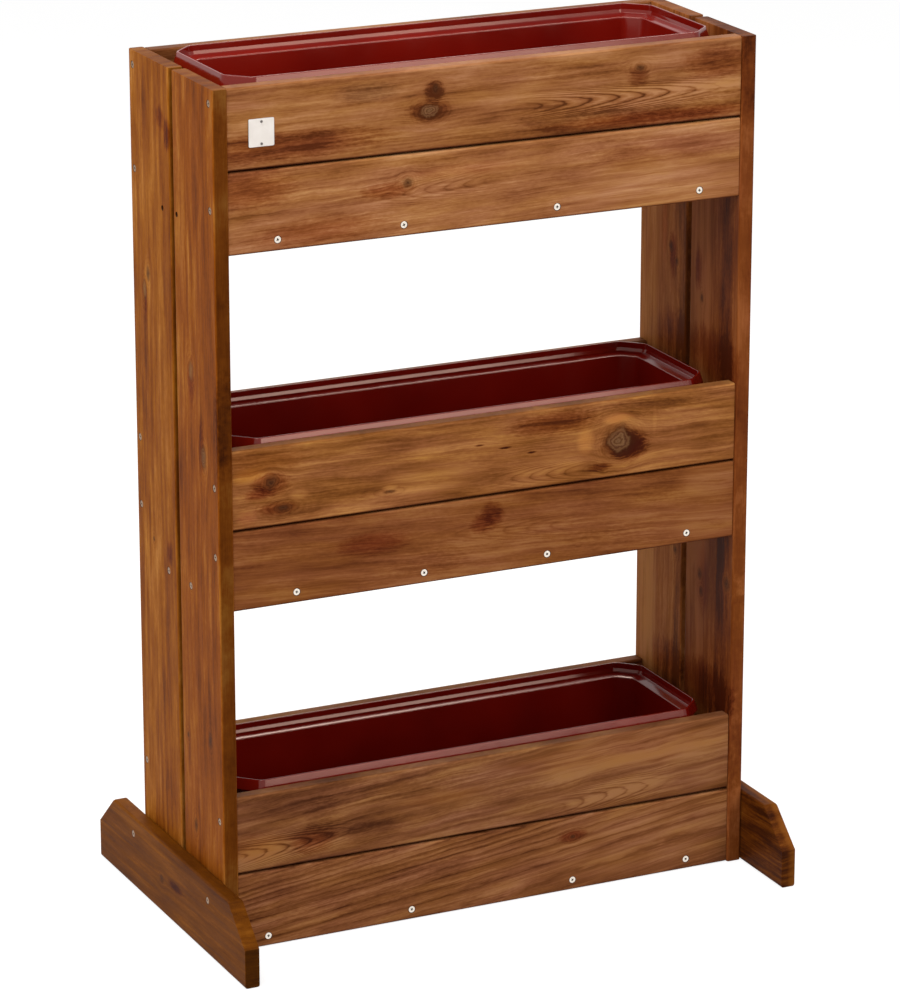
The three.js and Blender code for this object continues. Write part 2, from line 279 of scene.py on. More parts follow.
pine = {
    "roughness": (0.45, 0.6),
    "ringWidth": 3.6,  # mm between growth rings, coarser than slow-grown pine so that it shows
    "ringTones": [(0.0, 0.55), (0.35, 0.85), (0.75, 0.5), (0.9, 0.0), (1.0, 0.5)],  # early wood, late wood
    "ringMean": 0.52,
    "knotRings": 0.25,  # how strongly the rings show round a knot
    "arcReach": 26,  # mm, how far out the flanks of nested arcs show
    "paintedShadeDepth": 9,  # mm, how far painted shade or light on one face reaches into the board
    "smudgeFray": (1.2, 1.0, 0.8),  # how far patches, flecks and streaks fray the outline of a smudge
    "smudgeFade": (1.25, 3.0),  # where a smudge starts to fade and where it ends
    "bump": (0.4, 0.0002),  # strength, and depth in m
    "toneStops": {"deep": 0.12, "dark": 0.36, "mid": 0.56, "pale": 0.84},
    # how far a surface has turned from the broad side where the darkening starts and where it is full:
    # to a narrow edge, to an end, and down to the lower arris, where the darkening is painted shade
    "edgeTurn": (0.55, 0.95), "endTurn": (0.6, 0.95), "arrisShadeTurn": (-0.1, -0.9),
    # noises: lengths of the grains along, across and through the board in mm, detail and roughness
    "wander": ((480, 120, 120), 1.0, 0.4),  # slow bends of the grain
    "ripple": ((60, 26, 26), 2.0),  # quick bends
    "streak": ((150, 2.6, 30), 4.0, 0.62),  # early and late wood along a flat-sawn face
    "band": ((240, 8, 60), 3.0),  # soft bands where the saw ran along one growth ring
    "fibre": ((30, 0.9, 0.9), 2.0, 0.6),  # far coarser than real fibres so that it shows
    "fleck": ((7, 2.2, 7), 2.0, 0.6),
    "patch": ((72, 13, 60), 3.0),
    "broad": ((210, 55, 80), 2.0),  # clouds of paler and darker wood
    "hue": ((110, 20, 60), 3.0),  # drift between cooler and warmer stain
    "crumble": ((3.4, 2.2, 3.4), 3.0, 0.65),  # the broken heart of a knot
    "crumbleDepth": 0.18,
    # what a board's own look may change. The gloss, a specular level, is low: the stain leaves no film.
    "look": dict(
        deep="#4E2A12", dark="#7C4F2C", mid="#99683F", pale="#B98A5E", cool="#FFEEEE", warm="#FFF1D0",
        slope=0.02, wander=9, ripple=2.2, rings=0.0, pith=(0, 70), gloss=0.05, edge=0.75, endGrain=0.45,
        streaks=0.55, bands=0.65, fibres=0.3, flecks=0.26, patches=0.65, broad=0.7, shadedLowerArris=None,
        knots=(), smudges=(), arcs=(), seed=1),
}
knotWood = {  # colours from the heart outwards, and how well each covers the wood
    "grey": ([(0.0, "#442814"), (0.06, "#846040"), (0.16, "#5E3A20"), (0.24, "#8A6442"), (0.33, "#583420"),
              (0.42, "#7C5636"), (0.54, "#40200C")],
             [(0.0, 0.85), (0.38, 0.75), (0.5, 0.7), (0.6, 0.35), (0.85, 0.0)]),
    "pale": ([(0.0, "#9A7448"), (0.4, "#8A6038"), (0.55, "#6A4020")],
             [(0.0, 0.6), (0.4, 0.6), (0.5, 0.55), (0.7, 0.0)]),
    "dark": ([(0.0, "#2C1408"), (0.2, "#54321A"), (0.4, "#3C1E0C"), (0.6, "#5A3418")],
             [(0.0, 0.9), (0.3, 0.7), (0.45, 0.55), (0.9, 0.0)]),
}


def stainedPine(name, axes, look):
    # axes name the object's axes along the grain, across the face and through the thickness
    settings = {**pine["look"], **look}
    chance = random.Random(settings["seed"])
    material, tree = newMaterial(name)

    def anywhere():
        # a place of its own in the noises, in mm
        return [chance.uniform(-4000, 4000) for _ in range(3)]

    where = addNode(tree, "TexCoord")
    axisSplit = addNode(tree, "SeparateXYZ", None, {0: where.outputs["Object"]})
    facing = addNode(tree, "SeparateXYZ", None, {0: where.outputs["Normal"]})
    metres = addNode(tree, "CombineXYZ", None, {i: axisSplit.outputs[axis] for i, axis in enumerate(axes)})
    grain = addNode(tree, "VectorMath", {"operation": "SCALE"}, {0: metres, "Scale": 1000.0})
    shifted = addNode(tree, "VectorMath", add, {0: grain, 1: anywhere()})
    split = addNode(tree, "SeparateXYZ", None, {0: grain})

    def noise(vector, lengths, detail, roughness=0.55):
        # a noise whose grains have these lengths in mm
        scaled = addNode(tree, "VectorMath", multiply, {
            0: vector, 1: [1 / length for length in lengths]})
        return addNode(tree, "TexNoise", None, {
            "Vector": scaled, "Scale": 1.0, "Detail": detail, "Roughness": roughness})

    def blend(factor, first, second, kind="MIX"):
        return addNode(tree, "Mix", {"data_type": "RGBA", "blend_type": kind}, {
            0: factor, 6: first, 7: linear(second) if isinstance(second, str) else second}).outputs[2]

    # the grain runs nearly straight along the board
    lane = addNode(tree, "Math", multiplyAdd, {
        0: split.outputs[0], 1: settings["slope"], 2: split.outputs[1]})
    lane = addNode(tree, "Math", multiplyAdd, {
        0: noise(shifted, *pine["wander"]), 1: 2 * settings["wander"], 2: lane})
    calmLane = lane
    lane = addNode(tree, "Math", multiplyAdd, {
        0: noise(shifted, *pine["ripple"]), 1: 2 * settings["ripple"], 2: lane})

    # round a knot it spreads apart, and the knot has rings of its own
    drawn = []
    for alongAt, acrossAt, size, kind, stretch, push in settings["knots"]:
        swing = 0.9 * size + 1  # mm, how far its outline strays from a circle
        shake = addNode(tree, "VectorMath", multiplyAdd, {
            0: noise(shifted, [size * 0.8 + 2] * 3, 2.0).outputs["Color"], 1: [swing] * 3,
            2: [-alongAt - swing / 2, -acrossAt - swing / 2, 0]})
        off = addNode(tree, "VectorMath", add, {0: grain, 1: shake})
        off = addNode(tree, "VectorMath", multiply, {
            0: off, 1: (1 / (size * stretch), 1 / size, 0)})
        distance = addNode(tree, "VectorMath", {"operation": "LENGTH"}, {0: off}).outputs["Value"]
        reach = 1.6 + 5 / size
        fall = addNode(tree, "Math", multiply, {0: distance, 1: 1 / reach})
        fall = addNode(tree, "Math", {"operation": "POWER"}, {0: fall, 1: 2.0})
        fall = addNode(tree, "Math", multiply, {0: fall, 1: -1.0})
        fall = addNode(tree, "Math", {"operation": "EXPONENT"}, {0: fall})
        aside = addNode(tree, "VectorMath", {"operation": "DOT_PRODUCT"}, {0: off, 1: (0, -push * size, 0)})
        lane = addNode(tree, "Math", multiplyAdd, {0: fall, 1: aside.outputs["Value"], 2: lane})
        drawn.append((distance, size, kind, fall))

    # streaks, fibres, flecks, patches and broad clouds of early and late wood
    flow = addNode(tree, "CombineXYZ", None, {0: split.outputs[0], 1: lane, 2: split.outputs[2]})
    flow = addNode(tree, "VectorMath", add, {0: flow, 1: anywhere()})
    streak, band, fibre, fleck, patch = (
        noise(flow, *pine[kind]) for kind in ("streak", "band", "fibre", "fleck", "patch"))
    layers = ((streak, settings["streaks"]), (band, settings["bands"]), (fibre, settings["fibres"]),
              (fleck, settings["flecks"]), (patch, settings["patches"]),
              (noise(shifted, *pine["broad"]), settings["broad"]))
    tone = 0.5 - sum(weight for _, weight in layers) / 2
    for layer, weight in layers:
        tone = addNode(tree, "Math", multiplyAdd, {0: layer, 1: weight, 2: tone})

    def lines(measure, spacing, amount):
        # thin dark late wood between wide pale early wood
        turns = addNode(tree, "Math", multiplyAdd, {0: measure, 1: 1 / spacing, 2: patch})
        phase = addNode(tree, "Math", {"operation": "FRACT"}, {0: turns})
        wood = addNode(tree, "ValToRGB", None, {0: phase}, pine["ringTones"])
        wood = addNode(tree, "Math", {"operation": "SUBTRACT"}, {0: wood, 1: pine["ringMean"]})
        return addNode(tree, "Math", multiplyAdd, {0: wood, 1: amount, 2: tone})

    if settings["rings"]:
        acrossPith, depthPith = settings["pith"]
        centred = addNode(tree, "CombineXYZ", None, {0: lane, 1: split.outputs[2]})
        centred = addNode(tree, "VectorMath", add, {
            0: centred, 1: (-acrossPith - settings["wander"], -depthPith, 0)})
        radius = addNode(tree, "VectorMath", {"operation": "LENGTH"}, {0: centred}).outputs["Value"]
        tone = lines(radius, pine["ringWidth"], settings["rings"])
    for distance, size, _, fall in drawn:
        amount = addNode(tree, "Math", multiply, {0: fall, 1: pine["knotRings"]})
        tone = lines(distance, pine["ringWidth"] / size, amount)
    for tipAlong, tipAcross, way, spacing, spread, length, strength in settings["arcs"]:
        # a flat-sawn board cuts the rings in nested arcs that open one way
        aside = addNode(tree, "Math", add, {
            0: calmLane, 1: -tipAcross - settings["slope"] * tipAlong - settings["wander"]})
        square = addNode(tree, "Math", multiply, {0: aside, 1: aside})
        ahead = addNode(tree, "Math", multiplyAdd, {0: split.outputs[0], 1: way, 2: -tipAlong * way})
        bow = addNode(tree, "Math", multiplyAdd, {0: square, 1: 1 / spread, 2: ahead})
        near = addNode(tree, "Math", multiplyAdd, {0: ahead, 1: 2 / length, 2: 1.0})
        near = addNode(tree, "Math", {"operation": "POWER"}, {
            0: addNode(tree, "Math", absolute, {0: near}), 1: 4.0})
        near = addNode(tree, "Math", multiplyAdd, {0: square, 1: 1 / pine["arcReach"] ** 2, 2: near})
        near = addNode(tree, "Math", {"operation": "EXPONENT"}, {
            0: addNode(tree, "Math", multiply, {0: near, 1: -1.0})})
        amount = addNode(tree, "Math", multiply, {0: near, 1: strength})
        tone = lines(bow, spacing, amount)

    # stain, resin and pale early wood gather in soft smudges with a streaky edge;
    # the smudges on one face only are painted shade and painted light
    tinted = []
    for alongAt, acrossAt, length, width, lift, *more in settings["smudges"]:
        tintHex, faceAt = (*more, None, None)[:2]
        centre = (alongAt, acrossAt, faceAt or 0)
        off = addNode(tree, "VectorMath", {"operation": "SUBTRACT"}, {0: grain, 1: centre})
        scale = (1 / length, 1 / width, 1 / pine["paintedShadeDepth"] if faceAt else 0)
        off = addNode(tree, "VectorMath", multiply, {0: off, 1: scale})
        far = addNode(tree, "VectorMath", {"operation": "DOT_PRODUCT"}, {0: off, 1: off}).outputs["Value"]
        for layer, fray in zip((patch, fleck, streak), pine["smudgeFray"]):
            far = addNode(tree, "Math", multiplyAdd, {0: layer, 1: fray, 2: far})
        starts, ends = pine["smudgeFade"]
        mask = addNode(tree, "MapRange", {"interpolation_type": "SMOOTHSTEP"}, {
            "Value": far, "From Min": starts, "From Max": ends, "To Min": 1.0, "To Max": 0.0})
        tone = addNode(tree, "Math", multiplyAdd, {0: mask, 1: lift, 2: tone})
        if tintHex:
            tinted.append((mask, tintHex))
    colour = addNode(tree, "ValToRGB", None, {0: tone}, [
        (stop, settings[shade]) for shade, stop in pine["toneStops"].items()])
    hue = noise(flow, *pine["hue"])
    tint = addNode(tree, "ValToRGB", None, {0: hue}, [(0.34, settings["cool"]), (0.66, settings["warm"])])
    colour = blend(1.0, colour, tint.outputs[0], "MULTIPLY")

    for mask, tintHex in tinted:
        colour = blend(mask, colour, tintHex, "MULTIPLY")

    # the knots: a dark rim, a greyer or redder heart
    for distance, _, kind, _ in drawn:
        heartStops, maskStops = knotWood[kind]
        depth = pine["crumbleDepth"]
        crumbled = addNode(tree, "Math", multiplyAdd, {
            0: noise(shifted, *pine["crumble"]), 1: depth, 2: -depth / 2})
        halved = addNode(tree, "Math", multiplyAdd, {0: distance, 1: 0.5, 2: crumbled})
        heart = addNode(tree, "ValToRGB", None, {0: halved}, heartStops)
        mask = addNode(tree, "ValToRGB", None, {0: halved}, maskStops)
        colour = blend(mask.outputs[0], colour, heart.outputs[0])

    # narrow edges and end grain drink more stain
    edge = addNode(tree, "Math", absolute, {0: facing.outputs[axes[1]]})
    edge = addNode(tree, "MapRange", None, {
        "Value": edge, "From Min": pine["edgeTurn"][0], "From Max": pine["edgeTurn"][1],
        "To Min": 1.0, "To Max": settings["edge"]})
    ends = addNode(tree, "Math", absolute, {0: facing.outputs[axes[0]]})
    ends = addNode(tree, "MapRange", None, {
        "Value": ends, "From Min": pine["endTurn"][0], "From Max": pine["endTurn"][1],
        "To Min": 1.0, "To Max": settings["endGrain"]})
    shade = addNode(tree, "Math", multiply, {0: edge, 1: ends})
    colour = addNode(tree, "VectorMath", {"operation": "SCALE"}, {0: colour, "Scale": shade})
    if settings["shadedLowerArris"]:
        # painted shade: the faces that look down along the lower arris are darkened with this colour
        under = addNode(tree, "MapRange", None, {
            "Value": facing.outputs[axes[1]], "From Min": pine["arrisShadeTurn"][1],
            "From Max": pine["arrisShadeTurn"][0], "To Min": 1.0, "To Max": 0.0})
        colour = blend(under, colour, settings["shadedLowerArris"], "MULTIPLY")

    height = addNode(tree, "Math", add, {0: streak, 1: fibre})
    bump = addNode(tree, "Bump", None, {
        "Strength": pine["bump"][0], "Distance": pine["bump"][1], "Height": height})
    roughness = addNode(tree, "MapRange", None, {
        "Value": streak, "From Min": 0.3, "From Max": 0.7,
        "To Min": pine["roughness"][0], "To Max": pine["roughness"][1]})
    surface = addNode(tree, "BsdfPrincipled", None, {
        "Base Color": colour, "Roughness": roughness, "Specular IOR Level": settings["gloss"],
        "Normal": bump})
    addNode(tree, "OutputMaterial", None, {"Surface": surface})
    return material


# the wood in the countersinks: dark and dull, mottled in bits of about a millimetre
countersinkPine = mottled("dark pine in countersinks", 1.1, [(0.3, "#2C1408"), (0.7, "#4A260F")],
                      {"Roughness": 0.75, "Specular IOR Level": 0.2})


# Screws, nails and where they go

screw = {"headDiameter": 8, "headHeight": 3, "shank": 4, "core": 3.1, "tip": 5, "thread": 1.9,
         "recess": 4.2, "recessDepth": 1.8, "blade": 1.2, "sides": 28, "sink": 0.2, "sunkDeep": 2.6,
         "dimple": 9.2, "dimpleDepth": 0.35, "play": 0.25, "holeRadius": 3.2, "holeFoot": -3,
         "sinkSides": 24, "reach": 4, "throughSlat": 45, "throughEnd": 42,
         # the stained tones are painted shade: dull brown for the heads in the ends
         "bright": [(0.3, "#D8CEC2"), (0.7, "#F0E8DC")], "stained": [(0.3, "#6A4C34"), (0.7, "#B09070")],
         # the recess colour is painted shade, laid over the head below its top
         "recessShade": "#241A12", "recessShadeDepth": (0.7, 0.1), "milkiness": 1.43, "roughness": (0.22, 0.38)}
floorScrews = {  # along each front and back slat, and beside the groove of the ends, in mm
    "top": {"rise": 13, "slatX": (-262.5, -107.8, 85.1, 269.6), "endYZ": ((28.4, 856), (-14, 858)),
            "deep": True},
    "middle": {"rise": 13, "slatX": (-244, -83.5, 75.2, 259.8), "endYZ": ((30, 423), (-37, 425)),
               "deep": False},
    "bottom": {"rise": 12.5, "slatX": (-284.4, -100.4, 112.1, 266), "endYZ": ((30, 12), (-36, 12)),
               "deep": False},
}
tierBase = {"bottom": 0, "middle": 416, "top": 832}
driven = []  # every screw: name, head centre, way it points, deep or not, CAD node, length


def listScrews():
    for node in sorted(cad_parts):
        if not node.endswith("_screw"):
            continue
        low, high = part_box(node)
        side = -1 if "left_foot" in node or node.endswith("left_screw") else 1
        head = Vector((low.x if side < 0 else high.x, (low.y + high.y) / 2, (low.z + high.z) / 2))
        driven.append((node, head, Vector((side, 0, 0)), False, node, (high.x - low.x) * 1000))
    sink = screw["sink"] / 1000
    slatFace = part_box("top_front_upper_slat")[0].y
    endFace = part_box("left_front_side_board")[0].x
    for tier, row in floorScrews.items():
        z = tierBase[tier] + row["rise"]
        for side, word in ((1, "front"), (-1, "back")):
            for i, x in enumerate(row["slatX"]):
                at = mm(x * side, 0, z) + Vector((0, side * (slatFace + sink), 0))
                driven.append((f"{tier}_{word}_floor_screw_{i + 1}", at, Vector((0, -side, 0)), False, None,
                               screw["throughSlat"]))
        for side, word in ((1, "left"), (-1, "right")):
            for i, (y, height) in enumerate(row["endYZ"]):
                deep = row["deep"]
                inward = (screw["sunkDeep"] if deep else screw["sink"]) / 1000
                at = Vector((side * (endFace + inward), y / 1000 * side, height / 1000))
                driven.append((f"{tier}_{word}_floor_screw_{i + 1}", at, Vector((-side, 0, 0)), deep, None,
                               screw["throughEnd"]))


def countersinks(low, high):
    # one cutter for all the countersinks in a board
    shape = bmesh.new()
    wide, dimple, hole = screw["dimple"] / 2, screw["dimpleDepth"], screw["holeRadius"]
    rim, foot = screw["headDiameter"] / 2 + screw["play"], -screw["headHeight"] - 0.3
    reach = screw["reach"] / 1000
    for _, head, out, deep, *_ in driven:
        if not all(low[i] - reach < head[i] < high[i] + reach for i in range(3)):
            continue
        level = screw["sunkDeep"] if deep else screw["sink"]
        if deep:
            profile = [(0, level + 1), (hole, level + 1), (hole, -0.6), (0, screw["holeFoot"])]
        else:
            profile = [(0, level + 1), (wide + 0.5, level + 1), (wide, level - 0.05),
                       (wide - 0.6, level - dimple),
                       (rim, -dimple - 0.2), (rim, -0.7), (screw["shank"] / 2 + 0.3, foot), (0, foot)]
        one = lathe([(r / 1000, z / 1000) for r, z in profile], screw["sinkSides"])
        bmesh.ops.recalc_face_normals(one, faces=one.faces[:])
        turn = out.to_track_quat("Z", "Y").to_matrix().to_4x4()
        one.transform(Matrix.Translation(head) @ turn)
        mesh = bpy.data.meshes.new("sink")
        one.to_mesh(mesh)
        one.free()
        shape.from_mesh(mesh)
        bpy.data.meshes.remove(mesh)
    if not shape.faces:
        shape.free()
        return None
    return meshPiece("countersinks", shape, countersinkPine)


listScrews()


# Boards: planed all round with rounded arrises, cut off square

# the lower arris colour is painted shade, multiplied into the faces of a slat that look down
board = {"arris": 3.0, "arrisSteps": 5, "endArris": 0.8, "shadedLowerArris": "#8A4A30"}
footShape = {"cornerRun": 48, "cornerRise": 43}

# Places are along the grain and across it, in mm. Knots are (along, across, size, kind, stretch, push).
# Smudges are (along, across, half length, half width, lift in tone) and perhaps a tint and, for one face
# only, its place through the thickness; those on one face only are painted shade and painted light. Arcs
# are (along and across at the tip, way they point, spacing, spread, length, strength).
slatLooks = {
    "top_front_upper_slat": dict(
        deep="#5C3418", dark="#875631", mid="#9F6E45", pale="#BC8E66", seed=11, slope=-0.01, wander=5,
        knots=((-68, 998, 4.5, "dark", 0.8, 0.8), (-76, 973, 7, "grey", 1.6, 0.7),
               (190, 997, 3.0, "dark", 1.6, 0.7)),
        smudges=((-70, 995, 12, 14, -0.45, "#DCC4B8"), (-76, 974, 26, 13, -0.2, "#E4CABC"),
                 (188, 988, 14, 13, -0.2, "#E0C8BA"), (292, 995, 50, 18, -0.22, "#F0D6C4"),
                 (225, 1003, 34, 12, 0.12), (-262, 950, 130, 17, -0.25, "#F0D4C8"),
                 (-150, 1002, 40, 12, -0.15, "#EAF0FF"), (112, 1004, 60, 13, -0.15),
                 (238, 950, 110, 15, -0.24), (215, 938, 150, 9, -0.12, "#E8B898"), (20, 978, 90, 12, 0.1),
                 (76, 950, 40, 12, -0.2)),
        arcs=((284, 966, 1, 34, 1.5, 230, 0.85),)),
    "top_front_lower_slat": dict(
        deep="#64391B", dark="#8F5D37", mid="#A8764D", pale="#C79B70", seed=12, slope=-0.03, wander=5,
        knots=((-103, 893, 4.5, "dark", 1.0, 0.9),),
        smudges=((-300, 906, 60, 24, -0.2, "#F4DCCC"), (-128, 887, 36, 9, -0.22, "#ECCCBC"),
                 (-30, 901, 80, 8, 0.15, "#F6E6EE"), (-75, 905, 50, 12, -0.14), (150, 905, 50, 12, -0.14),
                 (230, 898, 100, 18, 0.05, "#F2E6EC"), (232, 858, 120, 24, 0.22),
                 (-210, 850, 90, 16, -0.05, "#ECD4C0")),
        arcs=((-150, 880, -1, 26, 2.0, 150, 0.3),)),
    "middle_front_upper_slat": dict(
        deep="#532C10", dark="#7D4E26", mid="#98653A", pale="#BC8B52", seed=13, ripple=3, wander=5,
        knots=((168, 555.5, 14, "grey", 1.05, 0.9), (-274, 564, 6, "dark", 1.1, 0.9),
               (-260, 532, 3.5, "dark", 2.2, 0.7), (-127, 533, 1.4, "dark", 4.0, 0.3)),
        smudges=((-288, 588, 60, 16, -0.1, "#FFF6D8"), (-300, 574, 26, 9, 0.25, "#FFF6D8"),
                 (-274, 562, 24, 14, -0.22, "#ECCCB4"), (-290, 552, 20, 7, -0.22, "#D8A898"),
                 (-268, 532, 26, 8, -0.22, "#E4C0AC"), (-304, 526, 14, 9, 0.2, "#F4E0EA"),
                 (-240, 545, 12, 6, 0.25), (-127, 538, 10, 3, 0.3), (-262, 534, 80, 18, -0.06),
                 (-78, 540, 60, 18, 0.2), (78, 534, 50, 16, 0.2), (230, 532, 50, 12, 0.12),
                 (166, 583, 20, 7, 0.35, "#FFEFE4"), (124, 560, 12, 16, 0.28, "#FFF4E8"),
                 (176, 551, 30, 18, -0.36, "#DCB498"), (182, 545, 24, 17, -0.25, "#D8A88C"),
                 (143, 526, 16, 5, -0.25, "#E4C4AC"), (84, 588, 56, 14, -0.28, "#F2D6C2"),
                 (196, 592, 76, 11, -0.24), (-13, 573, 7, 1.4, -0.4, "#A87860"),
                 (20, 566, 8, 1.4, -0.4, "#A87860"), (54, 556, 6, 1.4, -0.4, "#A87860"),
                 (215, 575, 3, 20, 0.08)),
        arcs=((12, 528, -1, 24, 2.2, 110, 0.35),)),
    "middle_front_lower_slat": dict(
        deep="#4E260F", dark="#734322", mid="#895630", pale="#A47449", seed=14, slope=0.05, wander=5,
        smudges=((4, 487, 15, 17, -0.3, "#E4BEA8"), (-10, 478, 15, 12, -0.22, "#E8C4B0"),
                 (300, 490, 50, 20, 0.2), (-262, 440, 90, 22, 0.16), (300, 440, 60, 20, 0.26),
                 (-75, 440, 50, 15, -0.22), (150, 440, 46, 15, -0.2), (225, 488, 36, 14, -0.18),
                 (-147, 474, 50, 14, -0.03, "#F0CCBC"), (180, 462, 90, 12, 0.05)),
        arcs=((-60, 470, -1, 30, 2.0, 180, 0.25),)),
    "bottom_front_upper_slat": dict(
        deep="#4A2813", dark="#6E452A", mid="#86593A", pale="#A57A56", seed=15, broad=0.9, wander=8,
        slope=-0.07, bands=1.0, ripple=4,
        smudges=((200, 168, 170, 24, 0.32, "#FFF6E8"), (-110, 170, 90, 16, -0.14),
                 (-300, 124, 46, 18, 0.16, "#FFF2D6"), (-226, 122, 30, 16, -0.12, "#ECCCB8"),
                 (-60, 148, 60, 9, 0.2, "#FFF8EC"), (200, 118, 150, 18, 0.14), (-150, 120, 36, 14, -0.16),
                 (300, 120, 36, 16, 0.16), (-216, 148, 22, 26, -0.2)),
        arcs=((-190, 126, 1, 26, 2.4, 140, 0.8), (230, 120, 1, 28, 2.4, 130, 0.5))),
    "bottom_front_lower_slat": dict(
        deep="#4A2611", dark="#714628", mid="#8A5B39", pale="#AA7C56", seed=16, slope=-0.12, rings=0.35,
        pith=(-10, 45), wander=5, knots=((112, 68, 2.5, "dark", 1.2, 0.7),),
        smudges=((111, 69, 20, 9, -0.16, "#E0B0A0"), (-200, 60, 150, 36, -0.14), (225, 50, 130, 42, 0.18),
                 (140, 24, 60, 14, 0.16))),
}
leftEnd = dict(broad=0.6, gloss=0.03, patches=0.7, streaks=0.45, bands=0.6, warm="#FFF0C4", cool="#FFF0E4",
               slope=0.0)
rightEnd = dict(gloss=0.03, slope=0.0, cool="#FFF0EC", warm="#FFF4DC")
endLooks = {
    "left_front_side_board": dict(
        leftEnd, deep="#542606", dark="#84460F", mid="#9E5A1A", pale="#C28640", seed=21, edge=0.42,
        knots=((684, -48, 6, "pale", 1.6, 1.0), (591, -81, 6, "grey", 1.9, 1.0),
               (424, -38, 2, "dark", 1.2, 0.5), (252, -88, 4, "dark", 1.8, 0.8),
               (238, -21, 2.5, "dark", 1.4, 0.7), (132, -40, 4, "dark", 1.7, 0.8)),
        smudges=((672, -47, 30, 10, -0.14, "#ECD0B8"), (600, -76, 36, 8, -0.2, "#E0C0A8"),
                 (640, -124, 60, 10, -0.35), (860, -124, 50, 10, 0.2))),
    "left_back_side_board": dict(
        leftEnd, deep="#5C2C0A", dark="#8C4E16", mid="#A66620", pale="#CC9048", seed=22, edge=0.56,
        knots=((768, 76, 4, "dark", 1.6, 1.0), (449, 74, 2, "dark", 1.3, 0.7),
               (747, 87, 5, "pale", 2.0, 0.7)),
        smudges=((960, 30, 14, 12, -0.2, "#E4C4A0"), (944, 12, 18, 10, -0.24, "#E4C4A0"),
                 (752, 78, 30, 12, 0.2), (446, 26, 14, 9, -0.18, "#E4C4A4"),
                 (730, 84, 30, 5, -0.2, "#E4C4AC"), (900, 105, 40, 16, -0.16), (600, 105, 46, 16, -0.18),
                 (300, 105, 50, 16, 0.12))),
    "right_front_side_board": dict(
        rightEnd, deep="#4A210C", dark="#6E3818", mid="#824820", pale="#A6683C", seed=23, edge=0.9,
        knots=((689, -35, 3, "dark", 1.5, 0.8), (345, -41, 4, "dark", 1.5, 0.8),
               (324, -45, 3.5, "dark", 1.3, 0.7), (352, -108, 6, "dark", 1.1, 0.7)),
        smudges=((980, -124, 60, 10, -0.32), (150, -124, 60, 10, -0.32), (700, -124, 90, 10, 0.22),
                 (724, -25, 28, 9, -0.2, "#E4C0B0"), (340, -50, 44, 16, -0.12, "#E8CCBC"),
                 # painted shade and light on the inner face (322): a dark band near the front, a pale band
                 # behind it, a pale patch, and dark marks just above the middle and bottom trays
                 (500, -96, 900, 15, -0.36, None, 322), (384, -36, 32, 28, 0.25, None, 322),
                 (500, -30, 900, 30, 0.36, None, 322), (624, -64, 34, 70, -0.3, "#F0D4C4", 322),
                 (205, -64, 34, 70, -0.4, "#F0D4C4", 322))),
    "right_back_side_board": dict(
        # its tones are its own wood tone lifted by painted light, for the light that reaches its inner face
        rightEnd, deep="#6C3C1A", dark="#9A5C2E", mid="#B2713C", pale="#CE925A", seed=24, edge=0.6,
        knots=((734, 44, 4, "dark", 1.3, 0.8), (719, 29, 3, "dark", 1.2, 0.7),
               (357, 22, 3.5, "dark", 1.2, 0.7)),
        smudges=((726, 38, 30, 11, -0.2, "#E4B8A8"), (760, 60, 44, 8, 0.0, "#F4D8C8"),
                 # painted shade and light on the inner face (322): a dark band along its front, a pale band
                 # along its back, and dark marks just above the middle and bottom trays
                 (500, 10, 900, 18, -0.25, None, 322), (500, 100, 900, 30, 0.25, None, 322),
                 (624, 30, 34, 50, -0.25, "#F0D4C4", 322), (205, 30, 34, 50, -0.3, "#F0D4C4", 322))),
}
footLooks = {
    "left_foot": dict(deep="#46220A", dark="#64380C", mid="#78460E", pale="#966022", seed=31, endGrain=0.4,
                      gloss=0.03, patches=0.5, cool="#FFEED4", warm="#FFEEB4", slope=0.03,
                      knots=((26, 43, 4.5, "dark", 1.1, 0.8),), smudges=((-18, 47, 22, 6, -0.2, "#C89880"),)),
    # its dark tones are painted shade; the outer-face smudge (358) is painted light, the inner-face one (340)
    # more painted shade
    "right_foot": dict(deep="#2E1206", dark="#42200C", mid="#64360F", pale="#86531F", seed=32, endGrain=0.8,
                       gloss=0.03,
                       smudges=((0, 45, 900, 200, 0.34, None, 358), (0, 45, 900, 200, -0.06, None, 340))),
}


def hiddenLook(name, seed):
    # a likely look for a board that the photograph doesn't show
    chance = random.Random(seed)
    low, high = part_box(name)
    sizes = sorted(range(3), key=lambda i: high[i] - low[i])
    acrossAxis, alongAxis = sizes[1], sizes[2]
    knots = []
    for _ in range(chance.choice((1, 2, 2, 3))):
        knots.append((chance.uniform(low[alongAxis] + 0.05, high[alongAxis] - 0.05) * 1000,
                      chance.uniform(low[acrossAxis] + 0.015, high[acrossAxis] - 0.015) * 1000,
                      chance.choice((2, 3, 5, 8)), chance.choice(("dark", "grey", "pale", "dark")),
                      chance.uniform(1.0, 1.8), chance.uniform(0.5, 1.1)))
    tones = chance.choice((("#552F15", "#80522D", "#996840", "#B68A60"),
                           ("#4E2912", "#754726", "#8D5D37", "#AA7C53")))
    look = dict(zip(("deep", "dark", "mid", "pale"), tones), slope=chance.uniform(-0.04, 0.04), seed=seed,
                knots=knots)
    if chance.random() < 0.6:
        look["arcs"] = ((chance.uniform(-200, 200), (low[acrossAxis] + high[acrossAxis]) * 500,
                         chance.choice((1, -1)), 28, 2.2, 180, 0.4),)
    return look


